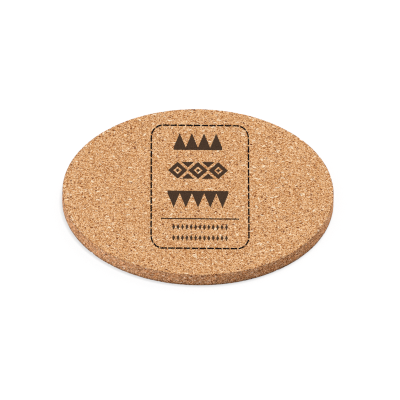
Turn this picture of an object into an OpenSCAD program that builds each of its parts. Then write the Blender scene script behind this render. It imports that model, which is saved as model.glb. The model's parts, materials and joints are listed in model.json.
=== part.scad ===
// Round drink coaster: one die-cut disc of fine agglomerated cork.
// The print on its top face is ink that has soaked in, so it lies level with the cork.
// X runs to the right and Y away from the person it faces; the disc lies on Z = 0.

/* [Cork disc] */
// Diameter of the disc
disc_d = 100; // [90:1:140]
// Thickness of the cork
disc_t = 5; // [2:0.5:12]
// Radius of the rounding along the top and the bottom edge
edge_r = 0.3; // [0.1:0.05:0.8]

/* [Print] */
// Depth to which the ink soaks into the cork
ink_t = 0.1; // [0.05:0.05:0.5]
// Place of the print to the right of the disc's centre
print_x = 0.7; // [-3:0.1:3]
// How many times as long the border is drawn along Y, so that it looks right from a seat
lengthening_share = 1.633; // [1:0.001:1.8]

/* [Border] */
// Width of the dashed border, between the middles of its lines
border_w = 35.9; // [31:0.1:44]
// Cork left between the far edge of the disc and the middle of the border's far line
far_margin = 10.1; // [8:0.1:13]
// Cork left between the near edge of the disc and the middle of the border's near line
near_margin = 15.95; // [13:0.05:18]
// Width of each rounded corner
corner_w = 4.4; // [1:0.1:8]
// Thickness of the lines that run along Y
line_w = 0.58; // [0.2:0.01:0.8]
// Length of a dash that lies along X
dash_w = 2.46; // [1:0.01:5]
// Gap between two dashes that lie along X
dash_gap = 0.4; // [0.2:0.01:0.9]
// Distance by which the dashes are moved on around the border
dash_shift = 0.2; // [0:0.05:1]

/* [Bands] */
// Place of the three bands to the right of the middle of the border
bands_x = -0.7; // [-1:0.1:1]
// Width of the middle band and of the near one
band_w = 22.5; // [16:0.5:28]
// Length of each band along Y
band_l = 10.2; // [5:0.1:13]
// Place of the far band beyond the middle of the border, as a share of its length
far_band_share = 0.367; // [0.35:0.001:0.385]
// Place of the middle band, as the same share
middle_band_share = 0.132; // [0.12:0.001:0.145]
// Place of the near band, as the same share
near_band_share = -0.103; // [-0.12:0.001:-0.09]
// Number of teeth in the near band
tooth_count = 5; // [3:1:8]
// Teeth that the far band has fewer than the near one
fewer_teeth = 1; // [0:1:2]
// Length along Y of the bar that the teeth stand on
bar_l = 1.5; // [0.5:0.1:3]
// Number of lozenges in the middle band
lozenge_count = 3; // [2:1:4]
// Gap between two lozenges at their widest
figure_gap = 0.3; // [0.1:0.05:0.8]
// Width of the opening in a lozenge
opening_w = 3.2; // [2.4:0.1:4.4]
// Width of the small lozenge in that opening
core_w = 1.6; // [1:0.1:2]
// Size of the triangles between the lozenges, as a share of the room they point into
wedge_share = 0.65; // [0.4:0.05:0.8]

/* [Rule and beads] */
// Width of the rule
rule_w = 28.7; // [20:0.1:30]
// Thickness of the rule
rule_l = 0.8; // [0.2:0.01:1.2]
// Place of the rule beyond the middle of the border, as a share of its length
rule_place_share = -0.261; // [-0.28:0.001:-0.24]
// Width of each row of beads
bead_row_w = 21; // [15:0.5:27]
// Number of beads in a row
bead_count = 13; // [5:1:16]
// Width of a bead
bead_w = 1.1; // [0.4:0.05:1.2]
// Length of a bead along Y
bead_l = 3.7; // [1.5:0.1:4]
// Place of the far row of beads beyond the middle of the border, as a share of its length
far_beads_share = -0.328; // [-0.335:0.001:-0.32]
// Place of the near row of beads, as the same share
near_beads_share = -0.416; // [-0.425:0.001:-0.405]

/* [Hidden] */

disc_r = disc_d / 2;
// How far a cut runs past the face that it opens
overrun = 1;
// Steps of a full turn, of a small rounding and of one corner of the border
turn_steps = 180;
rounding_steps = 48;
corner_steps = 8;

cork_colour = [0.84, 0.64, 0.45];
black_ink = [0.06, 0.04, 0.04];
brown_ink = [0.30, 0.22, 0.16];

border_l = disc_d - far_margin - near_margin;
print_y = (near_margin - far_margin) / 2;
// The border is laid out at the height it is drawn to, and then lengthened along Y
border_h = border_l / lengthening_share;
run_w = border_w - 2 * corner_w;
run_h = border_h - 2 * corner_w;
corner_l = PI * corner_w / 2;
// The way round goes along the near side, the right, the far side and the left
runs = [run_w, run_h, run_w, run_h];
corner_sides = [[1, -1], [1, 1], [-1, 1], [-1, -1]];
quarter = 90;

// Distance along the border at which side k begins; side 4 gives the whole way round
function side_start(k) = k == 0 ? 0 : side_start(k - 1) + runs[k - 1] + corner_l;
border_way = side_start(len(runs));
dash_count = round(border_way / (dash_w + dash_gap));
dash_pitch = border_way / dash_count;
dash_l = dash_pitch - dash_gap;

// The side on which the distance s lies
function side_at(s) = max([for (k = [0 : len(runs) - 1]) if (side_start(k) <= s) k]);
// A point at the distance s along side k of the border, and at the offset out from its middle line
function side_point(k, s, out) =
    let (
        along = s - side_start(k),
        turned = max(along - runs[k], 0) / corner_l,
        angle = quarter * (k - 1 + turned),
        left = max(runs[k] - along, 0),
        radius = corner_w + out
    ) [
        corner_sides[k][0] * run_w / 2 + radius * cos(angle) - left * cos(quarter * k),
        corner_sides[k][1] * run_h / 2 + radius * sin(angle) - left * sin(quarter * k)
    ];
function border_point(s, out) = let (way = s % border_way) side_point(side_at(way), way, out);

// Distances along the border, within two turns of it, at which the line bends
bends = [for (turn = [0 : 1], k = [0 : len(runs) - 1], i = [0 : corner_steps])
    turn * border_way + side_start(k) + runs[k] + corner_l * i / corner_steps];

// The outline of the dash from a to b, with a point at each bend between them
function dash_points(a, b) =
    let (stops = [a, for (s = bends) if (s > a && s < b) s, b], last = len(stops) - 1)
    [
        for (s = stops) border_point(s, line_w / 2),
        for (i = [last : -1 : 0]) border_point(stops[i], -line_w / 2)
    ];
function lengthened(points) = [for (p = points) [p[0], p[1] * lengthening_share]];

function lozenge_points(w, l) = [[w / 2, 0], [0, l / 2], [-w / 2, 0], [0, -l / 2]];
// A triangle that points away from the reader for end 1, and towards them for end -1
function triangle_points(w, l, end) = [[-w / 2, -end * l / 2], [w / 2, -end * l / 2], [0, end * l / 2]];

tooth_pitch = band_w / tooth_count;
lozenge_w = band_w / lozenge_count - figure_gap;
lozenge_slope = band_l / lozenge_w;

// A bar with teeth that point away from the reader for end 1, and towards them for end -1
function saw_points(count, end) =
    let (half_w = count * tooth_pitch / 2, outer = -end * band_l / 2, inner = outer + end * bar_l)
    concat(
        [[-half_w, outer]],
        [for (i = [0 : count - 1], at = [0, 0.5])
            [(i + at) * tooth_pitch - half_w, at > 0 ? -outer : inner]],
        [[half_w, inner], [half_w, outer]]
    );

// Repeats a figure along a row of the given width
module row(count, width) {
    for (i = [0 : count - 1])
        translate([width * ((i + 0.5) / count - 0.5), 0])
            children();
}

// The artwork, flat, about the middle of the border
module border_shape() {
    for (i = [1 : dash_count])
        let (middle = i * dash_pitch + dash_shift)
            polygon(lengthened(dash_points(middle - dash_l / 2, middle + dash_l / 2)));
}

module saw_band_shape(place_share, count, end) {
    translate([bands_x, border_l * place_share])
        polygon(saw_points(count, end));
}

module lozenge_band_shape() {
    translate([bands_x, border_l * middle_band_share]) {
        row(lozenge_count, band_w) {
            difference() {
                polygon(lozenge_points(lozenge_w, band_l));
                polygon(lozenge_points(opening_w, opening_w * lozenge_slope));
            }
            polygon(lozenge_points(core_w, core_w * lozenge_slope));
        }
        row(lozenge_count - 1, band_w * (lozenge_count - 1) / lozenge_count)
            for (end = [1, -1])
                translate([0, -end * band_l * (2 - wedge_share) / 4])
                    polygon(triangle_points(lozenge_w * wedge_share, band_l * wedge_share / 2, end));
    }
}

module rule_shape() {
    translate([0, border_l * rule_place_share])
        square([rule_w, rule_l], center = true);
}

module bead_row_shape(place_share) {
    translate([0, border_l * place_share])
        row(bead_count, bead_row_w)
            polygon(lozenge_points(bead_w, bead_l));
}

// Stands the flat artwork in the top face, down to the depth of the ink
module soaked_in(above = 0) {
    translate([print_x, print_y, disc_t - ink_t])
        linear_extrude(ink_t + above)
            children();
}

module disc_profile() {
    square([disc_r - edge_r, disc_t]);
    translate([0, edge_r])
        square([disc_r, disc_t - 2 * edge_r]);
    for (z = [edge_r, disc_t - edge_r])
        translate([disc_r - edge_r, z])
            circle(edge_r, $fn = rounding_steps);
}

module cork_disc() {
    color(cork_colour)
        difference() {
            rotate_extrude($fn = turn_steps)
                disc_profile();
            soaked_in(overrun) {
                border_shape();
                saw_band_shape(far_band_share, tooth_count - fewer_teeth, 1);
                lozenge_band_shape();
                saw_band_shape(near_band_share, tooth_count, -1);
                rule_shape();
                bead_row_shape(far_beads_share);
                bead_row_shape(near_beads_share);
            }
        }
}

module printed_border() {
    color(black_ink)
        soaked_in()
            border_shape();
}

module printed_far_band() {
    color(brown_ink)
        soaked_in()
            saw_band_shape(far_band_share, tooth_count - fewer_teeth, 1);
}

module printed_middle_band() {
    color(brown_ink)
        soaked_in()
            lozenge_band_shape();
}

module printed_near_band() {
    color(brown_ink)
        soaked_in()
            saw_band_shape(near_band_share, tooth_count, -1);
}

module printed_rule() {
    color(brown_ink)
        soaked_in()
            rule_shape();
}

module printed_far_beads() {
    color(brown_ink)
        soaked_in()
            bead_row_shape(far_beads_share);
}

module printed_near_beads() {
    color(brown_ink)
        soaked_in()
            bead_row_shape(near_beads_share);
}

cork_disc();
printed_border();
printed_far_band();
printed_middle_band();
printed_near_band();
printed_rule();
printed_far_beads();
printed_near_beads();
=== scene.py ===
"""Looks of a round cork drink coaster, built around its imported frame. Lengths are in metres.

The slab starts as a smooth disc. One recipe for the grain of the cork both sinks its skin and
colours it. Each group of the print is a film of ink, cut out of that skin along the CAD's outlines.
"""

import json
import math
from collections import namedtuple

import bmesh
import bpy
import numpy as np
from mathutils import Matrix, Vector


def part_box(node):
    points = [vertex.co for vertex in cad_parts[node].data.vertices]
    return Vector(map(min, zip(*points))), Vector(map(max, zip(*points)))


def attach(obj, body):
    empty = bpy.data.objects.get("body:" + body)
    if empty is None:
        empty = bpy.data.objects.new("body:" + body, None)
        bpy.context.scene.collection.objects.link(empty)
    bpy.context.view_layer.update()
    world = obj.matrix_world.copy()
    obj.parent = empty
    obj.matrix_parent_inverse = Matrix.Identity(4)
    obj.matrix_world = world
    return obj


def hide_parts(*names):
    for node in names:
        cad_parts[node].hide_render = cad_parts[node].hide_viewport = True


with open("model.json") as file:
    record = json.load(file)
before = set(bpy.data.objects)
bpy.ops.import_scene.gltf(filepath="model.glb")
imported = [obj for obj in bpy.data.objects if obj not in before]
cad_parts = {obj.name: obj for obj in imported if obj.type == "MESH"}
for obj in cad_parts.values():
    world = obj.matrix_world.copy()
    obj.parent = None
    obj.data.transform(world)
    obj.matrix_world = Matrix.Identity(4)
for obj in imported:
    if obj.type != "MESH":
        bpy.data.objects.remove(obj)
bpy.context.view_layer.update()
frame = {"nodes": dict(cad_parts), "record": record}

MM = 0.001
TAU = 2 * math.pi
WHITE = (1.0, 1.0, 1.0, 1.0)

# View of the photograph: its frame in pixels, and where the middle of the top face falls in it.
# Azimuth 0 looks from the front, along +Y. The camera stands far off, behind a long lens.
PHOTO_PX = 400
TOP_CENTRE_PX = (198.04, 191.34)
PX_PER_M = 2715.8
VIEW_AZIMUTH = math.radians(-0.64)
VIEW_ELEVATION = math.radians(37.79)
VIEW_ROLL = math.radians(-0.92)
VIEW_DISTANCE = 6.0
SENSOR_MM = 36.0

# Width of the pixel filter, in pixels: narrow, because the photograph is sharp down to its pixels
PIXEL_FILTER = 1.15

# Lamps. Each alone gives a level white surface its share of white. Its softness is its width as seen
# from the object. Angles are in degrees, azimuth 0 is +X and 90 is +Y. The tints cancel on the top face.
Lamp = namedtuple("Lamp", "azimuth elevation share softness colour")
LAMPS = {
    "left_softbox": Lamp(azimuth=192, elevation=43, share=0.43, softness=65, colour=(0.965, 1.0, 1.05)),
    "back_softbox": Lamp(azimuth=49, elevation=38, share=0.395, softness=40, colour=(1.03, 1.0, 0.955)),
}

# Light from the room, and what the floor throws back: both a little warmer than the lamps
AMBIENT = 0.175
AMBIENT_COLOUR = (1.02, 0.95, 0.91, 1.0)
BOUNCE_COLOUR = (0.90, 0.825, 0.78, 1.0)

# Floor. What is seen of it is mostly a glow of almost white, and its own shade in the lamps' light adds
# a little, so their shadow is faint on it. Within a short reach of the object it glows less, by how open
# the room is there in a direction that leans towards the back lamp: a painted contact shadow.
FLOOR_HALF = 4.0
FLOOR_SHADE = (0.08, 0.08, 0.08, 1.0)
CONTACT_REACH = 1.8 * MM
CONTACT_AZIMUTH = 52
CONTACT_ELEVATION = 44
CONTACT_SAMPLES = 16
OPENNESS = (0.40, 0.86)
GLOW = (0.69, 0.935)

# Grid of the cork's skin: rings of points on the flat faces, and rows of them round the side. The
# underside has half as many rings as the top face. The edges' rounding is that of the CAD's slab.
RING_SIDES = 6
BOTTOM_RINGS = 70
TOP_RINGS = 2 * BOTTOM_RINGS
COLUMNS = RING_SIDES * TOP_RINGS
SIDE_ROWS = 12
EDGE_ROWS = 3
EDGE_ROUND = 0.3 * MM

# Relief of the cork: how far its skin lies below the smooth disc all over, what each form adds to that
# at most, and how far from a corner the edge may chip
SKIN_DEPTH = 0.015 * MM
GRANULE_DEPTH = 0.06 * MM
SEAM_DEPTH = 0.03 * MM
PIT_DEPTH = 0.10 * MM
CHIP_DEPTH = 0.30 * MM
CHIP_REACH = 0.9 * MM

# What the cork is pressed from. A sheet is pressed flat, so everything in it is lower than it is wide.
# Coarse granules set a share of its tone and fine ones the rest. Seams fade out within a share of a
# coarse granule. Places wander over a short way, which bends the granules' straight sides.
PRESSED = (1.0, 1.0, 1.6)
GRANULE = 0.80 * MM
FINE_GRANULE = 0.28 * MM
COARSE_SHARE = 0.08
SEAM_WIDTH = 0.10
WANDER_SIZE = 0.6 * MM
WANDER = 0.2 * MM

# Spots in the cork: their distance apart, the share of them that is there, and the smallest and the
# largest radius. Each shows from one share of its radius and is full from the other inwards.
Spots = namedtuple("Spots", "spacing share smallest largest")
CRUMBS = Spots(0.70 * MM, 0.20, 0.12 * MM, 0.26 * MM)
PITS = Spots(0.60 * MM, 0.26, 0.12 * MM, 0.24 * MM)
SPECKS = Spots(1.3 * MM, 0.16, 0.26 * MM, 0.46 * MM)
CHIPS = Spots(2.2 * MM, 0.18, 0.50 * MM, 1.10 * MM)
SPOT_RIM = (1.15, 0.8)

# Flecks are spots drawn out along a few directions, in degrees
PALE_FLECKS = Spots(0.95 * MM, 0.030, 0.16 * MM, 0.42 * MM)
DARK_FLECKS = Spots(0.80 * MM, 0.07, 0.12 * MM, 0.26 * MM)
PALE_TURNS = (0.0, 24.0, 66.0, 118.0, 156.0)
DARK_TURNS = (8.0, 75.0, 165.0)
FLECK_STRETCH = 2.2

# Tones of the granules, from the darkest to the palest. All colours are red, green and blue up to 255.
CORK_TONES = (
    (0.00, (127, 60, 17)),
    (0.16, (169, 100, 45)),
    (0.34, (207, 146, 87)),
    (0.50, (222, 166, 109)),
    (0.66, (236, 184, 129)),
    (0.84, (251, 208, 162)),
    (1.00, (255, 228, 191)),
)

# What lies on those tones: its name in the grain, its colour and how much it covers
CORK_SPOTS = (
    ("crumb", (254, 224, 188), 0.65),
    ("pale_fleck", (255, 233, 200), 0.9),
    ("dark_fleck", (148, 78, 36), 0.65),
    ("seam", (150, 86, 46), 0.1),
    ("pit", (120, 52, 18), 0.8),
    ("speck", (114, 48, 12), 0.88),
)

# Finish of the cork, whose bump is that of the fine granules by this share and of the coarse by the rest
CORK_ROUGHNESS = (0.82, 0.97)
CORK_SPECULAR = 0.15
CORK_BUMP = 0.06 * MM
FINE_BUMP_SHARE = 0.4

# Cut side: how far in from the side its looks begin and are full, its tint, and how uneven it is. The
# tint is partly the cut side's own colour and partly painted shade, the darker, warmer hue the side takes
# in shade.
# A painted shade line along the rim fades out downwards, and a broader painted shade along the foot,
# where the side meets the floor, fades out upwards.
CUT_SIDE_DEPTH = (0.45 * MM, 0.2 * MM)
CUT_SIDE_TINT_AND_PAINTED_SHADE = (0.97, 0.92, 0.955)
CUT_SIDE_MOTTLE = 0.55
RIM_SHADE_HEIGHT = 0.4 * MM
RIM_PAINTED_SHADE = 0.25
FOOT_SHADE_HEIGHTS = (1.3 * MM, 0.2 * MM)
FOOT_PAINTED_SHADE = 0.45

# Ink: how far its film stands above the cork's skin and reaches below it, its colours, how much darker
# and lighter than them it gets from granule to granule, and its finish
INK_RISE = 0.012 * MM
INK_SINK = 0.08 * MM
BLACK = (12, 6, 8)
BROWN = (72, 54, 41)
INK_TONES = (0.92, 1.08)
INK_ROUGHNESS = 0.85
INK_SPECULAR = 0.04
INK_BUMP = 0.03 * MM

# Tolerances: how level with the top a CAD point is, the least double area of a CAD triangle in square
# metres, and the distances over which a film's points are joined and its slivers dissolved
LEVEL_WITHIN = 0.001 * MM
LEAST_DOUBLE_AREA = 1e-14
WELD_DISTANCE = 0.002 * MM
SLIVER_WIDTH = 0.001 * MM

# Sockets of the Mix node for colours, whose names its sockets for numbers share
MIX_UNDER = 6
MIX_OVER = 7
MIX_RESULT = 2


class Pattern:
    """Adds texture and arithmetic nodes to a tree, so one recipe serves a material and a modifier."""

    def __init__(self, tree):
        self.tree = tree

    def put(self, socket, value):
        """Links a socket to another one, or sets its value."""
        if isinstance(value, bpy.types.NodeSocket):
            self.tree.links.new(value, socket)
        else:
            socket.default_value = value

    def node(self, kind, inputs, **settings):
        """Adds a node with these settings, and with these inputs linked or set."""
        made = self.tree.nodes.new(kind)
        for name, value in settings.items():
            setattr(made, name, value)
        for name, value in inputs.items():
            self.put(made.inputs[name], value)
        return made

    def math(self, operation, *values):
        inputs = dict(enumerate(values))
        return self.node("ShaderNodeMath", inputs, operation=operation).outputs[0]

    def vector(self, operation, *values):
        inputs = dict(enumerate(values))
        return self.node("ShaderNodeVectorMath", inputs, operation=operation).outputs[0]

    def scaled(self, vector, factor):
        inputs = {"Vector": vector, "Scale": factor}
        return self.node("ShaderNodeVectorMath", inputs, operation="SCALE").outputs[0]

    def parts(self, vector):
        return self.node("ShaderNodeSeparateXYZ", {"Vector": vector}).outputs

    def length(self, x, y):
        """The length of a flat vector."""
        squares = self.math("ADD", self.math("POWER", x, 2.0), self.math("POWER", y, 2.0))
        return self.math("SQRT", squares)

    def fade(self, value, start, end):
        """0 where value is at start or before it, 1 at end or past it, and smooth between."""
        inputs = {"Value": value, "From Min": start, "From Max": end}
        return self.node("ShaderNodeMapRange", inputs, interpolation_type="SMOOTHSTEP").outputs[0]

    def spread(self, value, source, target):
        """The value's place in one range, taken over to another and kept inside it."""
        inputs = {"Value": value}
        inputs["From Min"], inputs["From Max"] = source
        inputs["To Min"], inputs["To Max"] = target
        return self.node("ShaderNodeMapRange", inputs).outputs[0]

    def cells(self, vector, size, feature="F1"):
        """Irregular cells about this wide."""
        inputs = {"Vector": vector, "Scale": 1 / size}
        return self.node("ShaderNodeTexVoronoi", inputs, feature=feature).outputs

    def noise(self, vector, size):
        """Smooth noise whose swells are about this wide."""
        inputs = {"Vector": vector, "Scale": 1 / size}
        return self.node("ShaderNodeTexNoise", inputs).outputs

    def overlaid(self, amount, under, over, most):
        """The colour under, with the colour over laid on it by amount, up to most."""
        factor = self.math("MULTIPLY", amount, most)
        inputs = {"Factor": factor, MIX_UNDER: under, MIX_OVER: over}
        return self.node("ShaderNodeMix", inputs, data_type="RGBA").outputs[MIX_RESULT]

    def bump(self, height, depth):
        """The normal of a surface with this height, from 0 to 1, over this depth."""
        inputs = {"Height": height, "Distance": depth, "Strength": 1.0}
        return self.node("ShaderNodeBump", inputs).outputs[0]

    def seen_or_lit(self, seen, lit):
        """One shader for rays from the camera, a mirror or clear glass, one for rays that carry light."""
        path = self.node("ShaderNodeLightPath", {}).outputs
        straight = self.math("MAXIMUM", path["Is Camera Ray"], path["Is Glossy Ray"])
        direct = self.math("MAXIMUM", straight, path["Is Transmission Ray"])
        inputs = {0: direct, 1: lit.outputs[0], 2: seen.outputs[0]}
        return self.node("ShaderNodeMixShader", inputs)


def empty_pattern(owner):
    """The emptied node tree of a material or a world."""
    owner.use_nodes = True
    owner.node_tree.nodes.clear()
    return Pattern(owner.node_tree)


def linear(red, green, blue):
    """The linear colour of 8-bit screen values."""
    def channel(value):
        v = value / 255
        return v / 12.92 if v <= 0.04045 else ((v + 0.055) / 1.055) ** 2.4
    return (channel(red), channel(green), channel(blue), 1.0)


def direction(azimuth, elevation):
    """The direction at these angles in degrees. Azimuth 0 is +X, 90 is +Y."""
    a, e = math.radians(azimuth), math.radians(elevation)
    return Vector((math.cos(a) * math.cos(e), math.sin(a) * math.cos(e), math.sin(e)))


def add_object(name, data):
    made = bpy.data.objects.new(name, data)
    bpy.context.scene.collection.objects.link(made)
    return made


def make_camera(top_centre):
    """A long lens that puts the middle of the top face on its pixel of the photograph."""
    a, e = VIEW_AZIMUTH, VIEW_ELEVATION
    back = Vector((math.sin(a) * math.cos(e), -math.cos(a) * math.cos(e), math.sin(e)))
    level = Vector((math.cos(a), math.sin(a), 0))
    rise = back.cross(level)
    right = level * math.cos(VIEW_ROLL) - rise * math.sin(VIEW_ROLL)
    up = level * math.sin(VIEW_ROLL) + rise * math.cos(VIEW_ROLL)
    across, down = [(PHOTO_PX / 2 - px) / PX_PER_M for px in TOP_CENTRE_PX]
    place = top_centre + right * across - up * down + back * VIEW_DISTANCE
    data = bpy.data.cameras.new("camera")
    data.sensor_width = SENSOR_MM
    data.lens = SENSOR_MM * VIEW_DISTANCE * PX_PER_M / PHOTO_PX
    data.clip_end = 2 * VIEW_DISTANCE
    camera = add_object("camera", data)
    camera.matrix_world = Matrix.Translation(place) @ Matrix((right, up, back)).transposed().to_4x4()
    bpy.context.scene.camera = camera


def make_sun(name, lamp):
    data = bpy.data.lights.new(name, "SUN")
    data.energy = math.pi * lamp.share / math.sin(math.radians(lamp.elevation))
    data.angle = math.radians(lamp.softness)
    data.color = lamp.colour
    sun = add_object(name, data)
    sun.rotation_mode = "QUATERNION"
    sun.rotation_quaternion = direction(lamp.azimuth, lamp.elevation).to_track_quat("Z", "Y")


def make_world():
    """A room that lights from all round, behind a background that is seen as white."""
    world = bpy.data.worlds.new("studio")
    pattern = empty_pattern(world)
    lit = pattern.node("ShaderNodeBackground", {"Color": AMBIENT_COLOUR, "Strength": AMBIENT})
    seen = pattern.node("ShaderNodeBackground", {"Color": WHITE})
    sky = pattern.seen_or_lit(seen, lit)
    pattern.node("ShaderNodeOutputWorld", {"Surface": sky.outputs[0]})
    bpy.context.scene.world = world


def floor_material():
    """White with a painted contact shadow and a faint shadow of the lamps, though it throws back a little
    less light than it seems to.
    """
    material = bpy.data.materials.new("floor_white")
    pattern = empty_pattern(material)
    x, y, z = direction(CONTACT_AZIMUTH, CONTACT_ELEVATION)
    leaned = pattern.node("ShaderNodeCombineXYZ", {"X": x, "Y": y, "Z": z}).outputs[0]
    inputs = {"Distance": CONTACT_REACH, "Normal": leaned}
    openness = pattern.node("ShaderNodeAmbientOcclusion", inputs, samples=CONTACT_SAMPLES).outputs["AO"]
    # How open the room is near the object dims the glow: a painted contact shadow on the floor
    glow_with_painted_shadow = pattern.spread(openness, OPENNESS, GLOW)
    glow = pattern.node("ShaderNodeEmission", {"Color": WHITE, "Strength": glow_with_painted_shadow})
    shaded = pattern.node("ShaderNodeBsdfDiffuse", {"Color": FLOOR_SHADE})
    shown = pattern.node("ShaderNodeAddShader", {0: shaded.outputs[0], 1: glow.outputs[0]})
    bounce = pattern.node("ShaderNodeBsdfDiffuse", {"Color": BOUNCE_COLOUR})
    surface = pattern.seen_or_lit(shown, bounce)
    pattern.node("ShaderNodeOutputMaterial", {"Surface": surface.outputs[0]})
    return material


def make_floor():
    half = FLOOR_HALF
    mesh = bpy.data.meshes.new("floor")
    corners = [(-half, -half, 0), (half, -half, 0), (half, half, 0), (-half, half, 0)]
    mesh.from_pydata(corners, [], [(0, 1, 2, 3)])
    mesh.materials.append(floor_material())
    floor = add_object("floor", mesh)


def bent_place(pattern, place):
    """A place in the pressed sheet, moved a little to and fro so that granules aren't straight-sided."""
    pressed = pattern.vector("MULTIPLY", place, PRESSED)
    noise = pattern.noise(pressed, WANDER_SIZE)["Color"]
    wander = pattern.vector("SUBTRACT", noise, (0.5, 0.5, 0.5))
    return pattern.vector("ADD", pressed, pattern.scaled(wander, WANDER))


def granules(pattern, bent):
    """The granules at a bent place: their tone, height and patch of brightness, and their seams."""
    coarse = pattern.parts(pattern.cells(bent, GRANULE)["Color"])
    fine = pattern.parts(pattern.cells(bent, FINE_GRANULE)["Color"])
    fine_tone = pattern.math("MULTIPLY", fine[0], 1 - COARSE_SHARE)
    edge = pattern.cells(bent, GRANULE, "DISTANCE_TO_EDGE")["Distance"]
    return {
        "tone": pattern.math("MULTIPLY_ADD", coarse[0], COARSE_SHARE, fine_tone),
        "height": coarse[1],
        "patch": coarse[2],
        "fine_height": fine[1],
        "seam": pattern.fade(edge, SEAM_WIDTH, 0.0),
    }


def spots(pattern, place, kind):
    """Round spots of one kind, each of random size: 1 inside them and 0 between."""
    cell = pattern.cells(place, kind.spacing)
    random = pattern.parts(cell["Color"])
    present = pattern.math("LESS_THAN", random[0], kind.share)
    growth = (kind.largest - kind.smallest) / kind.spacing
    reach = pattern.math("MULTIPLY_ADD", random[1], growth, kind.smallest / kind.spacing)
    inside = pattern.fade(pattern.math("DIVIDE", cell["Distance"], reach), *SPOT_RIM)
    return pattern.math("MULTIPLY", present, inside)


def flecks(pattern, place, turns, kind):
    """Spots of one kind, drawn out along a few directions in the plane of the sheet."""
    found = 0.0
    for turn in turns:
        inputs = {"Vector": place, "Angle": math.radians(turn)}
        turned = pattern.node("ShaderNodeVectorRotate", inputs, rotation_type="Z_AXIS").outputs[0]
        narrow = pattern.vector("MULTIPLY", turned, (1 / FLECK_STRETCH, 1.0, 1.0))
        found = pattern.math("MAXIMUM", found, spots(pattern, narrow, kind))
    return found


def cork_grain(pattern, place):
    """What the cork is at a place: its granules, and how far it is a pale or dark fleck, a pale crumb,
    a dark pit, a bark speck or a spot where the edge may chip."""
    bent = bent_place(pattern, place)
    return {
        **granules(pattern, bent),
        "pale_fleck": flecks(pattern, bent, PALE_TURNS, PALE_FLECKS),
        "dark_fleck": flecks(pattern, bent, DARK_TURNS, DARK_FLECKS),
        "crumb": spots(pattern, bent, CRUMBS),
        "pit": spots(pattern, bent, PITS),
        "speck": spots(pattern, bent, SPECKS),
        "chip": spots(pattern, bent, CHIPS),
    }


def ring(count, radius):
    """Evenly spaced flat points on a circle."""
    angles = [TAU * i / count for i in range(count)]
    return [(radius * math.cos(angle), radius * math.sin(angle)) for angle in angles]


def ring_disc(rings, radius):
    """A flat disc of rings, each with a point more to a side than the last: its points and triangles."""
    points = [(0.0, 0.0)]
    faces = []
    start = 0
    for k in range(1, rings + 1):
        outer = len(points)
        outer_count = RING_SIDES * k
        inner_count = max(RING_SIDES * (k - 1), 1)
        points += ring(outer_count, radius * k / rings)
        for side in range(RING_SIDES):
            for i in range(k):
                a = outer + side * k + i
                b = outer + (side * k + i + 1) % outer_count
                c = start + (side * (k - 1) + i) % inner_count
                faces.append((a, b, c))
                if i < k - 1:
                    faces.append((b, start + (side * (k - 1) + i + 1) % inner_count, c))
        start = outer
    return points, faces


def side_profile(radius, thickness):
    """Radius and height of each row of points, from the top face's edge down to the bottom's."""
    turns = [math.pi / 2 * i / EDGE_ROWS for i in range(1, EDGE_ROWS + 1)]
    straight = thickness - 2 * EDGE_ROUND
    rows = []
    for turn in turns:
        inset = EDGE_ROUND * (1 - math.sin(turn))
        drop = EDGE_ROUND * (1 - math.cos(turn))
        rows.append((radius - inset, thickness - drop))
    for i in range(1, SIDE_ROWS + 1):
        rows.append((radius, thickness - EDGE_ROUND - straight * i / SIDE_ROWS))
    for turn in turns:
        inset = EDGE_ROUND * (1 - math.cos(turn))
        height = EDGE_ROUND * (1 - math.sin(turn))
        rows.append((radius - inset, height))
    return rows


def strip(upper, lower):
    """Triangles between two rows of points round the side, which start at these points."""
    faces = []
    for i in range(COLUMNS):
        j = (i + 1) % COLUMNS
        faces.append((upper + i, lower + i, lower + j))
        faces.append((upper + i, lower + j, upper + j))
    return faces


def halving_strip(outer, inner):
    """Triangles between the side's last row and the underside's outer ring, of half as many points."""
    half = COLUMNS // 2
    faces = []
    for i in range(half):
        j = (i + 1) % half
        a, b, c = outer + 2 * i, outer + 2 * i + 1, outer + (2 * i + 2) % COLUMNS
        faces += [(a, inner + i, b), (b, inner + j, c), (b, inner + i, inner + j)]
    return faces


def cork_skin(radius, thickness):
    """The smooth disc's points and triangles, and how many of them, the first ones, are its top face."""
    flat_radius = radius - EDGE_ROUND
    flat, top_faces = ring_disc(TOP_RINGS, flat_radius)
    points = [(x, y, thickness) for x, y in flat]
    faces = list(top_faces)
    upper = len(points) - COLUMNS
    for row_radius, height in side_profile(radius, thickness):
        lower = len(points)
        points += [(x, y, height) for x, y in ring(COLUMNS, row_radius)]
        faces += strip(upper, lower)
        upper = lower
    first = len(points)
    under, under_faces = ring_disc(BOTTOM_RINGS, flat_radius - flat_radius / BOTTOM_RINGS)
    points += [(x, y, 0.0) for x, y in under]
    faces += [(first + c, first + b, first + a) for a, b, c in under_faces]
    faces += halving_strip(upper, len(points) - COLUMNS // 2)
    return points, faces, len(top_faces)


def near_corner(pattern, place, radius, thickness):
    """1 at the disc's upper and lower corners, and 0 beyond the reach of a chip from them."""
    x, y, z = pattern.parts(place)
    inward = pattern.math("SUBTRACT", radius, pattern.length(x, y))
    from_top = pattern.math("SUBTRACT", thickness, z)
    from_corner = pattern.math("ADD", inward, pattern.math("MINIMUM", from_top, z))
    return pattern.fade(from_corner, CHIP_REACH, 0.0)


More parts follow.
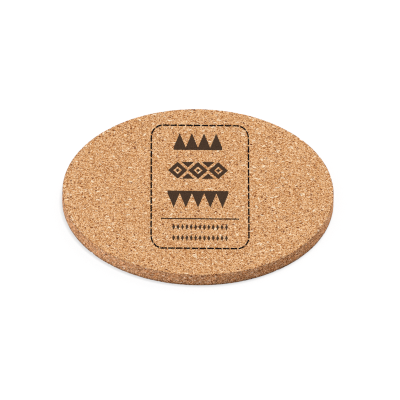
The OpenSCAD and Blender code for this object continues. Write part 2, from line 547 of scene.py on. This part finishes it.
def relief_tree(radius, thickness):
    """Geometry nodes that sink a smooth skin by the depth of its granules, seams, pits and chips."""
    tree = bpy.data.node_groups.new("cork_relief", "GeometryNodeTree")
    tree.interface.new_socket("Geometry", in_out="INPUT", socket_type="NodeSocketGeometry")
    tree.interface.new_socket("Geometry", in_out="OUTPUT", socket_type="NodeSocketGeometry")
    pattern = Pattern(tree)
    place = pattern.node("GeometryNodeInputPosition", {}).outputs[0]
    normal = pattern.node("GeometryNodeInputNormal", {}).outputs[0]
    grain = cork_grain(pattern, place)
    hollow = pattern.math("MAXIMUM", grain["speck"], grain["pit"])
    chipped = pattern.math("MULTIPLY", grain["chip"], near_corner(pattern, place, radius, thickness))
    depth = pattern.math("MULTIPLY_ADD", grain["height"], GRANULE_DEPTH, SKIN_DEPTH)
    depth = pattern.math("MULTIPLY_ADD", grain["seam"], SEAM_DEPTH, depth)
    depth = pattern.math("MULTIPLY_ADD", hollow, PIT_DEPTH, depth)
    depth = pattern.math("MULTIPLY_ADD", chipped, CHIP_DEPTH, depth)
    offset = pattern.scaled(normal, pattern.math("MULTIPLY", depth, -1.0))
    entered = pattern.node("NodeGroupInput", {}).outputs[0]
    moved = pattern.node("GeometryNodeSetPosition", {"Geometry": entered, "Offset": offset})
    pattern.node("NodeGroupOutput", {0: moved.outputs[0]})
    return tree


def run_nodes(piece, tree):
    """Runs geometry nodes on a piece, and keeps what they make as its mesh."""
    modifier = piece.modifiers.new("relief", "NODES")
    modifier.node_group = tree
    graph = bpy.context.evaluated_depsgraph_get()
    made = bpy.data.meshes.new_from_object(piece.evaluated_get(graph))
    piece.modifiers.clear()
    smooth = piece.data
    piece.data = made
    bpy.data.meshes.remove(smooth)


def new_material(name):
    """A material, the pattern that fills it, and the place on the object that it is drawn for."""
    material = bpy.data.materials.new(name)
    pattern = empty_pattern(material)
    place = pattern.node("ShaderNodeTexCoord", {}).outputs["Object"]
    return material, pattern, place


def finish_material(pattern, inputs):
    """Ends a material with a Principled shader that has these inputs."""
    shader = pattern.node("ShaderNodeBsdfPrincipled", inputs)
    pattern.node("ShaderNodeOutputMaterial", {"Surface": shader.outputs[0]})


def sheet_colour(pattern, grain):
    """The colour of the pressed sheet: the tones of its granules, with its spots on them."""
    ramp = pattern.node("ShaderNodeValToRGB", {"Fac": grain["tone"]})
    stops = ramp.color_ramp.elements
    # A ramp has its first and its last stop from the start
    for at, _ in CORK_TONES[1:-1]:
        stops.new(at)
    for stop, (_, tone) in zip(stops, CORK_TONES):
        stop.color = linear(*tone)
    colour = ramp.outputs[0]
    for spot, over, cover in CORK_SPOTS:
        colour = pattern.overlaid(grain[spot], colour, linear(*over), cover)
    return colour


def sawn_colour_with_painted_shade(pattern, grain, colour, z, thickness):
    """The sheet's colour on the cut side: tinted, partly as painted shade, mottled, and darker along the
    rim and the foot as painted shade.
    """
    mottle = pattern.math("MULTIPLY_ADD", grain["patch"], CUT_SIDE_MOTTLE, 1 - CUT_SIDE_MOTTLE / 2)
    # Painted shade: a dark line along the rim and a broader one along the foot
    rim = pattern.fade(z, thickness - RIM_SHADE_HEIGHT, thickness)
    foot = pattern.fade(z, *FOOT_SHADE_HEIGHTS)
    rim_painted_shade = pattern.math("MULTIPLY_ADD", rim, -RIM_PAINTED_SHADE, 1.0)
    foot_painted_shade = pattern.math("MULTIPLY_ADD", foot, -FOOT_PAINTED_SHADE, 1.0)
    shade = pattern.math("MULTIPLY", mottle, pattern.math("MULTIPLY", rim_painted_shade, foot_painted_shade))
    # The tint is partly the side's own colour and partly painted shade
    return pattern.scaled(pattern.vector("MULTIPLY", colour, CUT_SIDE_TINT_AND_PAINTED_SHADE), shade)


def cork_material(radius, thickness):
    material, pattern, place = new_material("agglomerated_cork")
    grain = cork_grain(pattern, place)
    x, y, z = pattern.parts(place)
    starts, full = CUT_SIDE_DEPTH
    cut = pattern.fade(pattern.length(x, y), radius - starts, radius - full)
    colour = sheet_colour(pattern, grain)
    # The cut side's colour carries painted shade: its tint in part, and darker lines along the rim and
    # the foot
    sawn_with_painted_shade = sawn_colour_with_painted_shade(pattern, grain, colour, z, thickness)
    coarse_height = pattern.math("MULTIPLY", grain["height"], 1 - FINE_BUMP_SHARE)
    height = pattern.math("MULTIPLY_ADD", grain["fine_height"], FINE_BUMP_SHARE, coarse_height)
    hollow = pattern.math("MAXIMUM", grain["speck"], grain["pit"])
    height = pattern.math("SUBTRACT", height, hollow)
    finish_material(pattern, {
        "Base Color": pattern.overlaid(cut, colour, sawn_with_painted_shade, 1.0),
        "Roughness": pattern.spread(grain["fine_height"], (0.0, 1.0), CORK_ROUGHNESS),
        "Specular IOR Level": CORK_SPECULAR,
        "Normal": pattern.bump(height, CORK_BUMP),
    })
    return material


def ink_material(name, colour):
    material, pattern, place = new_material(name)
    grain = granules(pattern, bent_place(pattern, place))
    dark, light = [linear(*[channel * share for channel in colour]) for share in INK_TONES]
    finish_material(pattern, {
        "Base Color": pattern.overlaid(grain["fine_height"], dark, light, 1.0),
        "Roughness": INK_ROUGHNESS,
        "Specular IOR Level": INK_SPECULAR,
        "Normal": pattern.bump(grain["height"], INK_BUMP),
    })
    return material


def make_cork(radius, thickness):
    """The slab, and how many of its triangles, the first ones, are its top face."""
    points, faces, top_count = cork_skin(radius, thickness)
    mesh = bpy.data.meshes.new("cork_slab")
    mesh.from_pydata(points, [], faces)
    mesh.polygons.foreach_set("use_smooth", [True] * len(mesh.polygons))
    cork = add_object("cork_slab", mesh)
    run_nodes(cork, relief_tree(radius, thickness))
    cork.data.materials.append(cork_material(radius, thickness))
    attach(cork, "root")
    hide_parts("cork_disc")
    return cork, top_count


def top_skin(cork, top_count):
    """The corners of the slab's top triangles, as an array of triangle, corner and coordinate."""
    points = np.array([v.co for v in cork.data.vertices])
    corners = np.array([p.vertices[:] for p in cork.data.polygons[:top_count]])
    return points[corners]


def top_triangles(node, height):
    """The triangles of a CAD node's upper faces, each as three flat points, counter-clockwise."""
    mesh = node.data
    mesh.calc_loop_triangles()
    found = []
    for triangle in mesh.loop_triangles:
        corners = [mesh.vertices[v].co for v in triangle.vertices]
        if min(c.z for c in corners) > height - LEVEL_WITHIN:
            flat = [(c.x, c.y) for c in corners]
            (ax, ay), (bx, by), (cx, cy) = flat
            double_area = (bx - ax) * (cy - ay) - (by - ay) * (cx - ax)
            if abs(double_area) > LEAST_DOUBLE_AREA:
                found.append(flat if double_area > 0 else flat[::-1])
    return found


def clip(polygon, a, b):
    """The part of a flat polygon on the left of the line from a to b."""
    kept = []
    along_x, along_y = b[0] - a[0], b[1] - a[1]
    sides = [along_x * (p[1] - a[1]) - along_y * (p[0] - a[0]) for p in polygon]
    for i, p in enumerate(polygon):
        q, here, there = polygon[i - 1], sides[i], sides[i - 1]
        if (here >= 0) != (there >= 0):
            t = there / (there - here)
            kept.append((q[0] + t * (p[0] - q[0]), q[1] + t * (p[1] - q[1])))
        if here >= 0:
            kept.append(p)
    return kept


def clip_to(polygon, triangle):
    """The part of a flat polygon inside a flat triangle, or no points where they are apart."""
    for i in range(3):
        polygon = clip(polygon, triangle[i], triangle[(i + 1) % 3])
        if len(polygon) < 3:
            return []
    return polygon


def film_faces(node, skin, thickness):
    """The cork's top triangles inside a CAD ink node's outline, raised by the height of the ink."""
    flat = skin[:, :, :2]
    lowest, highest = flat.min(1), flat.max(1)
    found = []
    for shape in top_triangles(node, thickness):
        near = (lowest < np.max(shape, 0)) & (highest > np.min(shape, 0))
        for k in np.where(near.all(1))[0]:
            a, b, c = skin[k]
            across = np.cross(b - a, c - a)
            face = []
            for x, y in clip_to([tuple(p) for p in flat[k]], shape):
                z = a[2] - (across[0] * (x - a[0]) + across[1] * (y - a[1])) / across[2]
                face.append((x, y, z + INK_RISE))
            if face:
                found.append(face)
    return found


def ink_film(node, skin, thickness):
    """A film that follows the cork's relief inside the outline of a CAD ink node."""
    bm = bmesh.new()
    for face in film_faces(node, skin, thickness):
        bm.faces.new([bm.verts.new(point) for point in face])
    bmesh.ops.remove_doubles(bm, verts=bm.verts, dist=WELD_DISTANCE)
    bmesh.ops.dissolve_degenerate(bm, dist=SLIVER_WIDTH, edges=bm.edges)
    made = bmesh.ops.extrude_face_region(bm, geom=bm.faces[:], use_keep_orig=True)
    sunk = [v for v in made["geom"] if isinstance(v, bmesh.types.BMVert)]
    bmesh.ops.translate(bm, verts=sunk, vec=(0, 0, -INK_RISE - INK_SINK))
    bmesh.ops.recalc_face_normals(bm, faces=bm.faces)
    bmesh.ops.triangulate(bm, faces=[f for f in bm.faces if len(f.verts) > 4])
    mesh = bpy.data.meshes.new(node.name + "_film")
    bm.to_mesh(mesh)
    bm.free()
    return add_object(node.name + "_film", mesh)


def make_ink(cork, top_count, thickness):
    """A film for each CAD ink node, in the ink of its material slot."""
    skin = top_skin(cork, top_count)
    inks = {
        "black_ink": ink_material("black_ink_film", BLACK),
        "brown_ink": ink_material("brown_ink_film", BROWN),
    }
    slots = {part["node"]: part["material_slot"] for part in frame["record"]["subparts"]}
    for name, node in frame["nodes"].items():
        if name == "cork_disc":
            continue
        film = ink_film(node, skin, thickness)
        film.data.materials.append(inks[slots[name]])
        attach(film, "root")
        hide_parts(name)


disc_low, disc_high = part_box("cork_disc")
disc_radius = (disc_high.x - disc_low.x) / 2
disc_thickness = disc_high.z

make_camera(Vector((0, 0, disc_thickness)))
make_world()
for lamp_name, lamp in LAMPS.items():
    make_sun(lamp_name, lamp)
make_floor()
slab, slab_top_count = make_cork(disc_radius, disc_thickness)
make_ink(slab, slab_top_count, disc_thickness)

bpy.context.scene.view_settings.view_transform = "Standard"
# The grain is as fine as a pixel, and denoising would smooth it away
bpy.context.scene.cycles.use_denoising = False
bpy.context.scene.cycles.filter_width = PIXEL_FILTER
